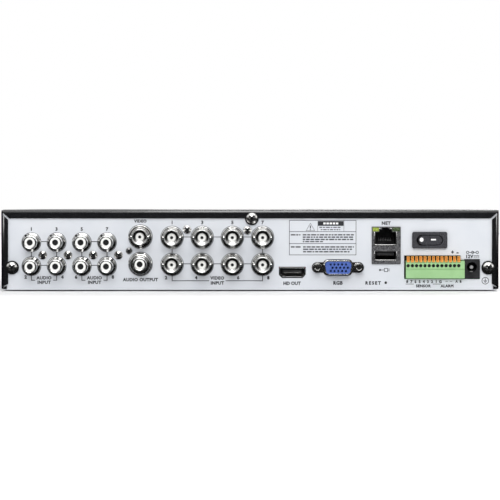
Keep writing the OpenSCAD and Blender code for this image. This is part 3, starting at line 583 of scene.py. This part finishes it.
def addPortDetails():
    lips, wires, tabs, flag = bmesh.new(), bmesh.new(), bmesh.new(), bmesh.new()
    for z in (27.1, 17.9):                        # bent sheet lips under the two openings
        box(lips, spot(75.2, z - 0.3, 1.3), spot(88.2, z + 0.3, 0.6), 0.2, 3)
    for x, low, high in ((75.0, 27.2, 35.0), (88.3, 27.2, 35.0), (75.0, 18.2, 23.2), (88.3, 18.2, 23.2)):
        box(lips, spot(x - 0.2, low, 1.12), spot(x + 0.2, high, 0.6), 0.15, 2)      # folded side edges
    for x in (78.2, 85.0):                        # latch corners beside the two lamps
        box(lips, spot(x - 0.35, 36.5, 1.0), spot(x + 0.35, 37.3, 0.6), 0.1, 2)
    # painted highlight: lips, side edges and latch corners in bright metal, not the shield's tin
    newPiece("shieldLips", lips, "lip_painted_highlight")
    for i in range(8):                            # spring wires rising towards the back of the network socket
        x = 77.9 + i * 1.02
        pin(wires, spot(x, 29.6, -3.0), spot(x, 30.7, -3.6), 0.16, 10)
        pin(wires, spot(x, 30.7, -3.6), spot(x, 31.3, -7.0), 0.16, 10)
    # painted shade: the spring wires take a dark grey metal instead of gold, for the shade deep in the socket
    newPiece("networkWires", wires, "dark_screw")
    for i in range(4):                            # flat contacts under the tongue
        x = 78.2 + i * 2.33
        box(tabs, spot(x - 0.5, 20.62, -1.4), spot(x + 0.5, 20.78, -11.0), 0.04, 1)
    newPiece("portTabs", tabs, "contact_gold")
    low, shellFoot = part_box("hd_port_tongue")[0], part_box("hd_port_shell")[0].z
    for i in range(10):
        x = low.x + 2.2 * mm + i * 1.1 * mm
        box(flag, (x - 0.2 * mm, low.y + 0.3 * mm, shellFoot + 2.48 * mm),
            (x + 0.2 * mm, low.y + 6.0 * mm, shellFoot + 2.56 * mm))
    newPiece("hdContacts", flag, "contact_gold")
    # painted highlight: a bright metal strip along the edge of the HD port tongue
    edge = bmesh.new()
    box(edge, spot(20.3, 10.2, -0.4), spot(30.7, 10.6, -0.9), 0.08, 1)
    newPiece("hdTongueEdgeHighlight", edge, "lip_painted_highlight")


blockScrews = [(-124.9 + i * 15.2, 21) for i in range(4)] + [(-37.9, 36.4), (-1.56, 36)]


def addScrewCrossShade():                            # painted shade: black crosses on the floors of the cross recesses, where they are in shadow
    bm = bmesh.new()
    places = [(*spot(x, z).xz, 1, 3.35, 2.1) for x, z in ((-143.4, 13.5), (143.6, 13.4), (1.1, 43.1))]
    places += [(*spot(x, z).xz, 0, 2.6, 1.7) for x, z in blockScrews]
    places += [(*spot(-72.9, 23.6).xz, 0, 1.95, 1.3)]
    for x, z, base, radius, high in places:
        length, wide, floor = radius * 1.3 * mm, radius * 0.46 * mm, (base + high * 0.94 - 0.3) * mm
        for turn in (45, -45):
            low = Vector((-length / 2, -0.3 * mm, -wide / 2))
            arm = box(bm, low, -low, turn=Matrix.Rotation(math.radians(turn), 4, "Y"))
            bmesh.ops.translate(bm, verts=arm, vec=(x, panelY - floor, z))
    newPiece("screwCrossPaintedShade", bm, "block_black")


def addRings():
    rim, washers = bmesh.new(), bmesh.new()
    inlet = mounts["power_inlet"]
    centre = Vector((inlet.x, panelY, inlet.z))
    lathe(rim, centre, [(3.08, 0.3), (3.08, 0.95), (3.2, 1.1), (3.75, 1.1), (3.9, 0.95), (3.9, 0.3)])
    newPiece("inletRim", rim, "block_black")
    screws, halfSpan = mounts["monitor_port_screws"], 12.5
    for side in (-1, 1):
        centre = Vector((screws.x + side * halfSpan * mm, panelY, screws.z))
        outline = [(1.45, 4.85), (2.2, 4.85), (2.4, 5.0), (2.35, 5.15), (1.6, 5.2), (1.45, 5.1)]
        lathe(washers, centre, outline, 40)
    newPiece("jackscrewLips", washers, "connector_nickel")


addPortDetails()
addScrewCrossShade()
addRings()
print("port details made")

ink = {"line": 0.45, "number": 1.95, "word": 1.85}


def frameLine(bm, points, width):                 # a printed line through points on the panel
    half = width / 2
    for (x0, z0), (x1, z1) in zip(points, points[1:]):
        panelBar(bm, (min(x0, x1) - half, max(x0, x1) + half), (min(z0, z1) - half, max(z0, z1) + half))


def addSocketPrint():
    bm = bmesh.new()
    columns = sorted({round(tip.x / mm, 2) for name, tip in mounts.items() if name.startswith("audio_in_")})
    for i, x in enumerate(columns):
        words(bm, str(2 * i + 1), x, 36.7, ink["number"])
        words(bm, str(2 * i + 2), x + (-3.5 if i % 2 == 0 else 3.5), 7.8, ink["number"])
    for x0, x1 in (columns[:2], columns[2:]):
        middle = (x0 + x1) / 2
        for z in (29.1, 14.8):
            frameLine(bm, [(x0 + 5.7, z), (x1 - 5.7, z)], ink["line"])
        for x in (x0, x1):
            frameLine(bm, [(x, 20.0), (x, 23.0)], ink["line"])
            inner = 1.9 if x == x0 else -1.9
            frameLine(bm, [(x, 8.4), (x, 5.8), (x + inner, 5.8)], ink["line"])
        words(bm, "AUDIO", middle, 7.3, ink["word"])
        words(bm, "INPUT", middle, 4.6, ink["word"])
    newPiece("audioPrint", bm, "ink_dark")
    bm = bmesh.new()
    columns = sorted({round(tip.x / mm, 2) for name, tip in mounts.items() if name.startswith("video_in_")})
    for i, x in enumerate(columns):
        words(bm, str(2 * i + 1), x, 40.7, ink["number"])
        words(bm, str(2 * i + 2), x + (-3.7 if i < 2 else 3.5), 7.4, ink["number"])
    for x0, x1 in zip(columns, columns[1:]):
        for z in (31.9, 15.7):
            frameLine(bm, [(x0 + 6.8, z), (x1 - 6.8, z)], ink["line"])
    for x in (columns[0], columns[-1]):
        frameLine(bm, [(x, 22.1), (x, 24.7)], ink["line"])
    left, right = columns[0], columns[-1]
    middle = (left + right) / 2
    frameLine(bm, [(left, 8.5), (left, 5.5), (middle - 5.2, 5.5)], ink["line"])
    frameLine(bm, [(right, 8.5), (right, 5.5), (middle + 5.2, 5.5)], ink["line"])
    words(bm, "VIDEO", middle, 7.2, ink["word"])
    words(bm, "INPUT", middle, 4.2, ink["word"])
    words(bm, "VIDEO", mounts["video_out"].x / mm, 41.5, ink["word"] * 0.9)
    words(bm, "AUDIO OUTPUT", mounts["audio_out"].x / mm, 6.2, ink["word"])
    newPiece("videoPrint", bm, "ink_dark")


addSocketPrint()


def addPortPrint():
    bm = bmesh.new()
    words(bm, "HD OUT", 25.3, 4.0, 1.9, 1.0)
    words(bm, "RGB", 53.0, 4.2, 2.0)
    words(bm, "NET", 82.0, 40.3, 1.9)
    words(bm, "RESET", 74.2, 4.2, 1.9, 1.4)
    words(bm, "+", 122.1, 22.8, 2.2)
    words(bm, "-", 125.1, 22.8, 2.6)
    words(bm, "12V", 132.2, 20.2, 1.9)
    for i in range(9):
        label = "G" if i == 8 else str(8 - i)
        words(bm, label, 94.8 + i * 2.5, 5.0, 1.6)
    frameLine(bm, [(94.0, 3.5), (98.6, 3.5)], 0.32)
    frameLine(bm, [(110.4, 3.5), (115.0, 3.5)], 0.32)
    words(bm, "SENSOR", 104.5, 2.4, 1.6)
    words(bm, "ALARM", 118.9, 2.4, 1.6)
    for x in (118.6, 121.2):
        frameLine(bm, [(x - 0.6, 5.1), (x + 0.6, 5.1)], 0.28)
    words(bm, "A", 124.6, 5.1, 1.4)
    words(bm, "B", 127.0, 5.1, 1.4)
    frameLine(bm, [(135.0, 20.6), (138.0, 20.6)], 0.36)
    for i in range(3):
        frameLine(bm, [(135.0 + i * 1.2, 19.8), (135.6 + i * 1.2, 19.8)], 0.36)
    for x in (131.2, 137.0):                      # polarity mark: ring, centre and ring
        lathe(bm, spot(x, 22.6), [(0.55, -0.01), (0.92, -0.01), (0.92, 0.03), (0.55, 0.03)], 28)
    lathe(bm, spot(134.2, 22.6), [(0.55, -0.01), (0.92, -0.01), (0.92, 0.03), (0.55, 0.03)], 28)
    pin(bm, spot(134.2, 22.6, -0.01), spot(134.2, 22.6, 0.03), 0.32)
    frameLine(bm, [(132.1, 22.6), (133.3, 22.6)], 0.35)
    frameLine(bm, [(134.4, 22.6), (136.1, 22.6)], 0.35)
    lathe(bm, spot(141.9, 5.5), [(1.8, -0.01), (2.2, -0.01), (2.2, 0.03), (1.8, 0.03)], 48)
    frameLine(bm, [(141.9, 5.5), (141.9, 6.7)], 0.4)            # earth mark
    for z, half in ((5.5, 1.0), (4.95, 0.65), (4.4, 0.3)):
        frameLine(bm, [(141.9 - half, z), (141.9 + half, z)], 0.32)
    frameLine(bm, [(78.6, 12.0), (81.0, 12.0)], 0.35)            # a plug on its lead
    pin(bm, spot(78.4, 12.0, -0.01), spot(78.4, 12.0, 0.03), 0.6)
    frameLine(bm, [(81.0, 11.0), (83.0, 11.0), (83.0, 13.0), (81.0, 13.0), (81.0, 11.0)], 0.35)
    for z in (11.5, 12.5):
        frameLine(bm, [(83.0, z), (84.2, z)], 0.35)
    newPiece("portPrint", bm, "ink_dark")


addPortPrint()

notice = {"x": (23.7, 63.9), "z": (21.1, 41.9), "rules": (35.1, 27.9), "line": 0.32, "seed": 7}


def addNotice():                                  # a ruled notice with plain bars where small print would be
    black, grey, white = bmesh.new(), bmesh.new(), bmesh.new()
    (left, right), (low, high) = notice["x"], notice["z"]
    frameLine(black, [(left, low), (right, low), (right, high), (left, high), (left, low)], notice["line"])
    for z in notice["rules"]:
        frameLine(black, [(left, z), (right, z)], notice["line"])
    panelBar(black, (40.8, 56.4), (38.6, 41.5))
    frameLine(black, [(40.8, 38.6), (40.8, 35.1)], 0.2)
    frameLine(black, [(56.6, 41.9), (56.6, 35.1)], 0.2)
    outline = bmesh.ops.create_circle(black, cap_ends=True, segments=3, radius=3.2 * mm)["verts"]
    face = outline[0].link_faces[0]
    bmesh.ops.inset_individual(black, faces=[face], thickness=0.42 * mm, depth=0)
    bmesh.ops.delete(black, geom=[face], context="FACES_ONLY")
    rim = list({face for vert in outline for face in vert.link_faces})
    verts = list({vert for face in rim for vert in face.verts})
    grown = bmesh.ops.extrude_face_region(black, geom=rim)["geom"]
    raised = [each for each in grown if isinstance(each, bmesh.types.BMVert)]
    bmesh.ops.translate(black, verts=raised, vec=(0, 0, 0.04 * mm))
    stand = Matrix.Translation(spot(36.4, 37.2, -0.01)) @ Matrix.Rotation(math.radians(90), 4, "X")
    bmesh.ops.transform(black, matrix=stand, verts=verts + raised)
    panelBar(black, (36.1, 36.7), (37.0, 38.8))
    panelBar(black, (36.1, 36.7), (36.0, 36.5))
    for i in range(5):
        panelBar(white, (44.2 + i * 1.9, 45.6 + i * 1.9), (39.5, 40.6), 0.06)
    chance = random.Random(notice["seed"])
    rows = [(41.8, 55.4, 37.7, 0.3), (42.6, 54.4, 36.3, 0.3)]
    rows += [(24.6, 30.4, 33.2, 0.4), (24.6, 31.0, 25.9, 0.4)]
    rows += [(31.8, 62.6, z, 0.4) for z in (33.2, 31.8, 30.4)] + [(31.8, 44.0, 29.1, 0.35)]
    rows += [(32.0, 62.6, 25.9, 0.4), (32.0, 62.0, 24.5, 0.4), (32.0, 60.0, 23.0, 0.4)]
    for start, end, z, half in rows:
        at = start
        while at < end - 0.6:
            long = min(chance.uniform(0.9, 3.2), end - at)
            panelBar(grey, (at, at + long), (z - half, z + half))
            at += long + 0.5
    newPiece("noticeWhite", white, "ink_white")
    newPiece("noticeRules", black, "ink_dark")
    newPiece("noticeBars", grey, "ink_grey")


addNotice()
print("printing made")

rockerSet = {"lean": 11.0, "pivot": (108.25, 30.0, -0.4), "faceAtMiddle": 1.8, "faceAtEnd": 2.7, "half": 8.0}


def addRockerMarks():
    bm = bmesh.new()
    slope = (rockerSet["faceAtEnd"] - rockerSet["faceAtMiddle"]) / rockerSet["half"]

    def onFace(x, z, lift):                       # x and z from the pivot, out along the rocker's face
        return Vector((x * mm, -(rockerSet["faceAtMiddle"] + slope * abs(x) + lift) * mm, z * mm))

    for side, x0, x1 in ((-1, -5.7, -5.7), (1, 0.4, 3.4)):       # a dot and a dash
        outward = Vector((-slope * side, -1, 0)).normalized() * mm
        middle = onFace((x0 + x1) / 2, 0.3, 0)
        if side < 0:
            pin(bm, middle - outward * 0.1, middle + outward * 0.04, 1.25, 32)
        else:
            half = (x1 - x0) / 2
            low, high = Vector((-half, -0.04, -0.45)) * mm, Vector((half, 0.2, 0.45)) * mm
            dash = box(bm, middle + low, middle + high)
            bmesh.ops.rotate(bm, verts=dash, cent=middle, matrix=Matrix.Rotation(-math.atan(slope), 3, "Z"))
    pivot = spot(*rockerSet["pivot"])
    turn = Matrix.Translation(pivot) @ Matrix.Rotation(math.radians(rockerSet["lean"]), 4, "Z")
    bmesh.ops.transform(bm, matrix=turn, verts=bm.verts)
    newPiece("rockerMarks", bm, "ink_white", "rocker")


addRockerMarks()


def addStage():
    bm = bmesh.new()
    bmesh.ops.create_grid(bm, x_segments=1, y_segments=1, size=studio["floorSize"] / 2)
    looks["floor_paper"] = floorFinish()
    floor = newPiece("floor", bm, "floor_paper", body=None, fixNormals=False)
    floor.visible_glossy = False                  # the bright metal mirrors a dark studio, not the paper


addStage()
